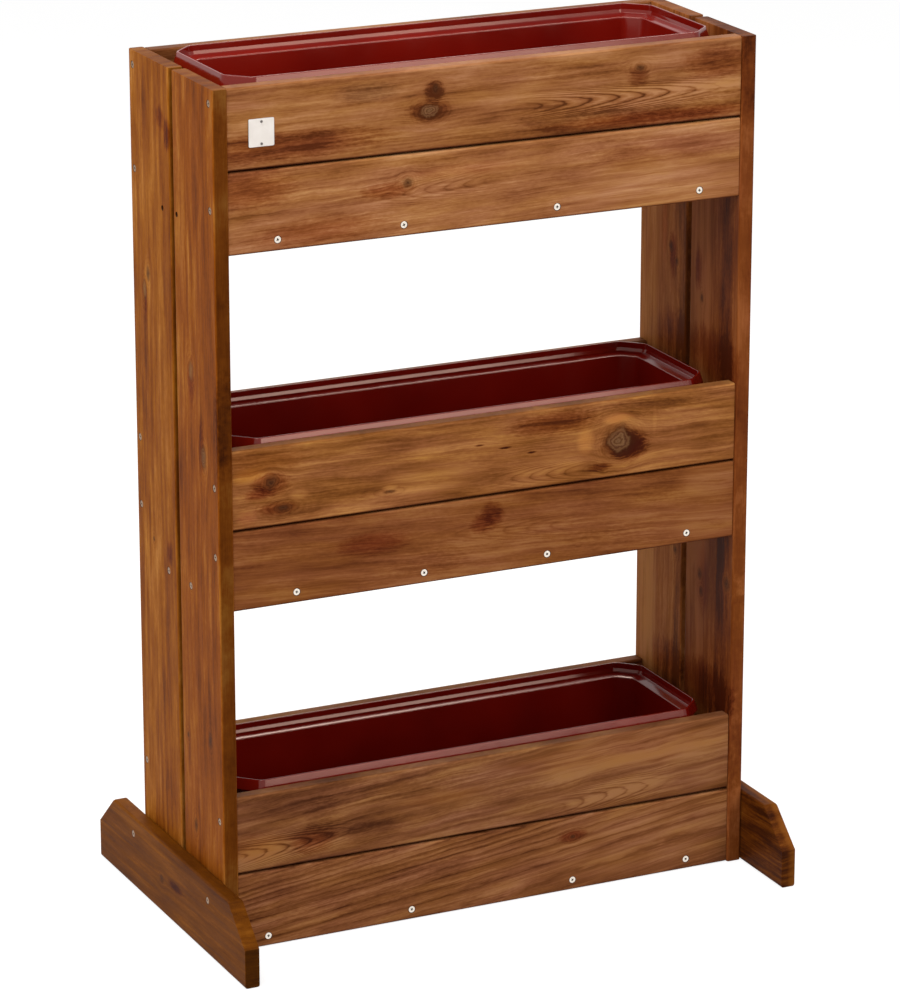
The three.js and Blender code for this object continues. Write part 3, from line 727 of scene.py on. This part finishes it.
def planedBoard(name, axes, look, slot, outline=None):
    # a board from its outline across the face, drawn out through its thickness
    low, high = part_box(name)
    grain, width, depth = ("XYZ".index(axis) for axis in axes)
    if outline is None:
        outline = [(low[grain], low[width]), (high[grain], low[width]),
                   (high[grain], high[width]), (low[grain], high[width])]
    shape = bmesh.new()
    corners = []
    for along, across in outline:
        point = [0, 0, 0]
        point[grain], point[width], point[depth] = along, across, low[depth]
        corners.append(shape.verts.new(point))
    face = shape.faces.new(corners)
    drawn = bmesh.ops.extrude_face_region(shape, geom=[face])
    step = [0, 0, 0]
    step[depth] = high[depth] - low[depth]
    bmesh.ops.translate(shape, verts=[v for v in drawn["geom"] if isinstance(v, bmesh.types.BMVert)],
                        vec=step)
    bmesh.ops.recalc_face_normals(shape, faces=shape.faces[:])

    def runsAlong(edge):
        way = (edge.verts[1].co - edge.verts[0].co).normalized()
        return abs(way[grain]) > 0.99

    bmesh.ops.bevel(shape, geom=[e for e in shape.edges if runsAlong(e)],
                    offset=board["arris"] / 1000, segments=board["arrisSteps"], profile=0.5,
                    affect="EDGES")
    crossCuts = {f for f in shape.faces
                 if abs(f.normal[grain]) > 0.5 and (len(f.verts) > 4 or f.calc_area() > 1e-4)}
    rims = [e for e in shape.edges if crossCuts & set(e.link_faces)]
    bmesh.ops.bevel(shape, geom=rims, offset=board["endArris"] / 1000, segments=2, profile=0.5,
                    affect="EDGES")
    piece = meshPiece(name + "_wood", shape,
                      stainedPine("brown-stained pine, " + name.replace("_", " "), axes, look))
    finishMesh(piece, countersinks(low, high))
    place(piece, "frame", slot, name)


def buildBoards():
    seed = 100
    for name in sorted(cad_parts):
        seed += 1
        if name.endswith("_slat"):
            look = slatLooks.get(name) or hiddenLook(name, seed)
            planedBoard(name, "XZY", {**look, "shadedLowerArris": board["shadedLowerArris"]}, "stained_pine_slats")
        elif name.endswith("_side_board"):
            planedBoard(name, "ZYX", endLooks[name], "stained_pine_ends")
        elif name.endswith("_floor_board"):
            planedBoard(name, "XYZ", hiddenLook(name, seed), "stained_pine_floors")
        elif name.endswith("_foot"):
            low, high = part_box(name)
            run, rise = footShape["cornerRun"] / 1000, footShape["cornerRise"] / 1000
            outline = [(low.y, low.z), (high.y, low.z), (high.y, high.z - rise), (high.y - run, high.z),
                       (low.y + run, high.z), (low.y, high.z - rise)]
            planedBoard(name, "YZX", footLooks[name], "stained_pine_feet", outline)


buildBoards()
print("boards made")


# Zinc-plated steel: bright and a little milky, in spots of one or two mm, with painted shade down in the
# recess.
# The heads in the ends are painted dull brown, which is painted shade.
def zincPlate(name, tones):
    material, tree = newMaterial(name)
    where = addNode(tree, "TexCoord")
    depth = addNode(tree, "SeparateXYZ", None, {0: where.outputs["Object"]})
    # painted shade: the head turns dark below its top, down in the cross recess
    deepest, shallowest = screw["recessShadeDepth"]
    recessShade = addNode(tree, "MapRange", None, {
        "Value": depth.outputs[2], "From Min": -deepest / 1000, "From Max": -shallowest / 1000,
        "To Min": 1.0, "To Max": 0.0})
    cloud = addNode(tree, "TexNoise", None, {
        "Vector": where.outputs["Object"], "Scale": 1000 / screw["milkiness"], "Detail": 2.0})
    clean = addNode(tree, "ValToRGB", None, {0: cloud}, tones)
    colour = addNode(tree, "Mix", {"data_type": "RGBA"}, {0: recessShade, 6: clean, 7: linear(screw["recessShade"])})
    low, high = screw["roughness"]
    roughness = addNode(tree, "MapRange", None, {"Value": cloud, "To Min": low, "To Max": high})
    surface = addNode(tree, "BsdfPrincipled", None, {
        "Base Color": colour, "Metallic": 1.0, "Roughness": roughness})
    addNode(tree, "OutputMaterial", None, {"Surface": surface})
    return material


def screwMesh(length, material):
    # a countersunk head with a cross recess, a threaded shank and a point
    head, shank, core = screw["headDiameter"] / 2, screw["shank"] / 2, screw["core"] / 2
    profile = [(0, 0), (head - 0.35, 0), (head - 0.1, -0.1), (head, -0.35), (head - 0.1, -0.6),
               (shank, -screw["headHeight"]), (shank, -length * 0.35)]
    turn = -length * 0.35 - 0.4
    while turn > -length + screw["tip"]:
        profile += [(core, turn), (shank, turn - screw["thread"] * 0.45)]
        turn -= screw["thread"]
    profile += [(core, -length + screw["tip"] * 0.9), (0, -length)]
    piece = meshPiece("screw", lathe([(r / 1000, z / 1000) for r, z in profile], screw["sides"]), material)
    cross = bmesh.new()
    for angle in (0, math.pi / 2):
        half, thin, down = screw["recess"] / 2000, screw["blade"] / 2000, screw["recessDepth"] / 1000
        blade = bmesh.ops.create_cube(cross, size=1.0)["verts"]
        for v in blade:
            # wide above the head, narrower at the bottom of the recess
            wider, thicker, z = (1.0, 1.0, 0.0005) if v.co.z > 0 else (0.45, 0.7, -down)
            v.co = Vector((v.co.x * 2 * half * wider, v.co.y * 2 * thin * thicker, z))
        bmesh.ops.rotate(cross, verts=blade, matrix=Matrix.Rotation(angle, 3, "Z"))
    blades = meshPiece("recess", cross, material)
    cut = piece.modifiers.new("recess", "BOOLEAN")
    cut.operation, cut.solver, cut.object, cut.use_self = "DIFFERENCE", "EXACT", blades, True
    bakeModifiers(piece)
    bpy.data.objects.remove(blades)
    finishMesh(piece, sharpAngle=32)
    mesh = piece.data
    bpy.data.objects.remove(piece)
    return mesh


def buildScrews():
    finishes = {False: zincPlate("bright zinc plate on steel", screw["bright"]),
                # the second finish is painted shade, dull brown for the heads that point along X
                True: zincPlate("zinc plate darkened by painted shade", screw["stained"])}
    shapes = {}
    chance = random.Random(5)
    for name, head, out, deep, node, length in driven:
        kind = (round(length), abs(out.x) > 0.5)
        if kind not in shapes:
            shapes[kind] = screwMesh(kind[0], finishes[kind[1]])
        piece = addObject(name + "_zinc", shapes[kind])
        piece.matrix_world = (Matrix.Translation(head) @ out.to_track_quat("Z", "Y").to_matrix().to_4x4()
                              @ Matrix.Rotation(chance.uniform(0, math.pi / 2), 4, "Z"))
        place(piece, "frame", "zinc_screws", *([node] if node else []))


buildScrews()
print("screws made:", len(driven))


# Trays: moulded polypropylene, deep terracotta red, high gloss from a polished mould

tray = {
    "length": 608, "width": 186, "height": 173, "wall": 2.2, "taper": 17,
    "corner": 25, "bend": 13, "baseCorner": 15, "baseBend": 8, "heel": 6, "heelFlat": 4,
    "cornerShare": 0.586, "leastCorner": 6,  # a cut corner loses this share of an inset, down to the least
    "lipDrop": 13, "lipFlare": 4, "rimTop": 2, "steepRun": 0.4, "steepDrop": 7, "facetRun": 1.3,
    "facetDrop": 4, "ledgeWidth": 11.3, "ledgeDrop": 3, "hollowInset": 0.3, "hollowDrop": 6.6,
    "edgeRound": 1.0, "smallRound": 0.4, "roundSteps": 4, "bendSteps": 6,
    # the plastic: flow marks between two reds, soft waves and a thin haze, each by its size in mm
    "reds": [(0.3, "#660B05"), (0.7, "#7A1107")], "flowMarks": 111, "waves": 26.3, "haze": 41.7,
    "waveBump": (0.12, 0.0006),  # strength, and depth in m
    "roughness": (0.09, 0.17), "ior": 1.5, "glint": "#FFE2D6",
}


def glossPlastic():
    material, tree = newMaterial("glossy moulded plastic, terracotta red")
    where = addNode(tree, "TexCoord")
    flow, waves, haze = (
        addNode(tree, "TexNoise", None, {
            "Vector": where.outputs["Object"], "Scale": 1000 / tray[kind], "Detail": detail})
        for kind, detail in (("flowMarks", 2.0), ("waves", 1.0), ("haze", 3.0)))
    colour = addNode(tree, "ValToRGB", None, {0: flow}, tray["reds"])
    strength, depth = tray["waveBump"]
    bump = addNode(tree, "Bump", None, {"Strength": strength, "Distance": depth, "Height": waves})
    low, high = tray["roughness"]
    roughness = addNode(tree, "MapRange", None, {
        "Value": haze, "From Min": 0.3, "From Max": 0.7, "To Min": low, "To Max": high})
    surface = addNode(tree, "BsdfPrincipled", None, {
        "Base Color": colour, "Roughness": roughness, "IOR": tray["ior"],
        "Specular Tint": linear(tray["glint"]), "Normal": bump})
    addNode(tree, "OutputMaterial", None, {"Surface": surface})
    return material


def rounded(points, radius, steps, closed=False):
    # a path with each corner turned on an arc
    result = []
    count = len(points)
    for i, point in enumerate(points):
        r = radius[i] if isinstance(radius, (list, tuple)) else radius
        if not r or (not closed and i in (0, count - 1)):
            result.append(Vector(point))
            continue
        here = Vector(point)
        back = Vector(points[i - 1]) - here
        on = Vector(points[(i + 1) % count]) - here
        half = back.angle(on) / 2
        cutBack = min(r / math.tan(half), back.length * 0.48, on.length * 0.48)
        start, end = here + back.normalized() * cutBack, here + on.normalized() * cutBack
        for k in range(steps + 1):
            t = k / steps
            result.append(start * (1 - t) ** 2 + here * 2 * t * (1 - t) + end * t * t)
    return result


def trayRing(inset, corner, bend):
    # one level of the tray: a rectangle with its corners cut off and softly bent
    hx, hy = tray["length"] / 2 - inset, tray["width"] / 2 - inset
    corner = max(corner - tray["cornerShare"] * inset, tray["leastCorner"])
    points = [(hx - corner, -hy), (hx, -hy + corner), (hx, hy - corner), (hx - corner, hy),
              (-hx + corner, hy), (-hx, hy - corner), (-hx, -hy + corner), (-hx + corner, -hy)]
    return rounded(points, bend, tray["bendSteps"], closed=True)


def trayMesh(name, material):
    t = tray
    top = t["height"]
    lipFoot = top - t["lipDrop"]
    facetTop = t["rimTop"] + t["steepRun"]
    slopeFoot = facetTop + t["facetRun"]
    slopeLow = top - t["steepDrop"] - t["facetDrop"]
    wallTop = slopeFoot + t["ledgeWidth"]
    wallFoot = wallTop + t["taper"]
    ledge = slopeLow - t["ledgeDrop"]
    w, e, small = t["wall"], t["edgeRound"], t["smallRound"]
    floorEdge = wallFoot + t["heel"] + t["heelFlat"]
    # the section: inset from the outside of the rim's top, and height, with the rounding of each corner
    section = [
        ((floorEdge - w, 0), 0),
        ((wallFoot - w, 0), t["heel"]),
        ((wallTop - w, ledge - w), e + w),
        ((slopeFoot - w, slopeLow - w), e),
        ((t["hollowInset"], top - t["hollowDrop"]), small),
        ((w - t["lipFlare"], lipFoot), small),
        ((-t["lipFlare"], lipFoot), 0.5),
        ((0, top), e + 0.2),
        ((t["rimTop"], top), e - 0.2),
        ((facetTop, top - t["steepDrop"]), e),
        ((slopeFoot, slopeLow), e),
        ((wallTop, ledge), e + 0.4),
        ((wallFoot, w), t["heel"]),
        ((floorEdge, w), 0),
    ]
    path = rounded([p for p, _ in section], [r for _, r in section], t["roundSteps"])
    rings = []
    for inset, height in path:
        deep = max(0.0, min(1.0, (inset - wallTop) / t["taper"]))
        corner = t["corner"] * (1 - deep) + (t["baseCorner"] + t["cornerShare"] * wallFoot) * deep
        bend = t["bend"] * (1 - deep) + t["baseBend"] * deep
        rings.append([mm(x, y, height) for x, y in trayRing(inset, corner, bend)])
    return meshPiece(name, loft(rings), material)


def buildTrays():
    plastic = glossPlastic()
    for name in ("top_tray", "middle_tray", "bottom_tray"):
        piece = trayMesh(name + "_moulding", plastic)
        low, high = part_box(name)
        piece.data.transform(Matrix.Translation((0, 0, low.z)))
        finishMesh(piece, sharpAngle=60)
        place(piece, name, "tray_plastic", name)


buildTrays()
print("trays made")


# The small plate: white enamel fired on thin sheet steel, hard and smooth with a soft gloss. Its thin sides
# are painted dark, a painted shadow where it stands on the wood. Two nails of blackened steel hold it, dark
# half-bright domes.

plate = {
    "corner": 2.2, "edge": 0.3, "nailHead": 3.0, "nailRise": 0.8,
    "whites": [(0.35, "#EEE7E0"), (0.7, "#F8F2EC")], "paintedEdgeShadow": "#4A3C34", "roughness": 0.3,
    "dust": 16.7, "peel": 3.85,  # mm, the size of the dusty spots and of the enamel's waves
    "peelBump": (0.1, 0.0002),  # strength, and depth in m
    "nailTones": [(0.3, "#4A4442"), (0.7, "#7A7472")], "nailMarks": 1.1, "nailRoughness": 0.4,
}


def enamel():
    material, tree = newMaterial("white enamel on sheet steel")
    where = addNode(tree, "TexCoord")
    peel, dust = (
        addNode(tree, "TexNoise", None, {
            "Vector": where.outputs["Object"], "Scale": 1000 / plate[kind], "Detail": detail})
        for kind, detail in (("peel", 2.0), ("dust", 3.0)))
    colour = addNode(tree, "ValToRGB", None, {0: dust}, plate["whites"])
    facing = addNode(tree, "SeparateXYZ", None, {0: where.outputs["Normal"]})
    # painted shadow: the plate's thin sides, which face neither front nor back, take the dark colour
    edge = addNode(tree, "Math", absolute, {0: facing.outputs[1]})
    edge = addNode(tree, "MapRange", None, {
        "Value": edge, "From Min": 0.5, "From Max": 0.9, "To Min": 1.0, "To Max": 0.0})
    colour = addNode(tree, "Mix", {"data_type": "RGBA"}, {
        0: edge, 6: colour, 7: linear(plate["paintedEdgeShadow"])}).outputs[2]
    strength, depth = plate["peelBump"]
    bump = addNode(tree, "Bump", None, {"Strength": strength, "Distance": depth, "Height": peel})
    surface = addNode(tree, "BsdfPrincipled", None, {
        "Base Color": colour, "Roughness": plate["roughness"], "Normal": bump})
    addNode(tree, "OutputMaterial", None, {"Surface": surface})
    return material


def buildPlate():
    low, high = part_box("plate")
    edge = plate["edge"] / 1000
    outline = rounded([(low.x, low.z), (high.x, low.z), (high.x, high.z), (low.x, high.z)],
                      plate["corner"] / 1000, 6, closed=True)
    centre = Vector(((low.x + high.x) / 2, (low.z + high.z) / 2))
    half = (high.x - low.x) / 2
    rings = []
    for y, inset in ((high.y, 0), (low.y + edge, 0), (low.y, edge)):
        moved = [centre + (point - centre) * (1 - inset / half) for point in outline]
        rings.append([(point.x, y, point.y) for point in moved])
    piece = meshPiece("plate_enamelled", loft(rings), enamel())
    finishMesh(piece)
    place(piece, "frame", "plate_enamel", "plate")
    steel = mottled("blackened steel nail", plate["nailMarks"], plate["nailTones"],
                    {"Metallic": 1.0, "Roughness": plate["nailRoughness"]})
    for node in ("plate_upper_nail", "plate_lower_nail"):
        low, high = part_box(node)
        r, rise = plate["nailHead"] / 2000, plate["nailRise"] / 1000
        length = high.y - low.y
        profile = [(0, rise), (r * 0.5, rise * 0.93), (r * 0.85, rise * 0.62), (r, rise * 0.2), (r, 0),
                   (r * 0.4, 0), (r * 0.4, rise - length + 0.002), (0, rise - length)]
        piece = meshPiece(node + "_domed", lathe(profile, 20), steel)
        under = Vector(((low.x + high.x) / 2, low.y + rise, (low.z + high.z) / 2))
        piece.data.transform(Matrix.Translation(under) @ Matrix.Rotation(math.pi / 2, 4, "X"))
        finishMesh(piece)
        place(piece, "frame", "zinc_screws", node)


buildPlate()
print("plate made")

bpy.context.scene.view_settings.view_transform = "Standard"
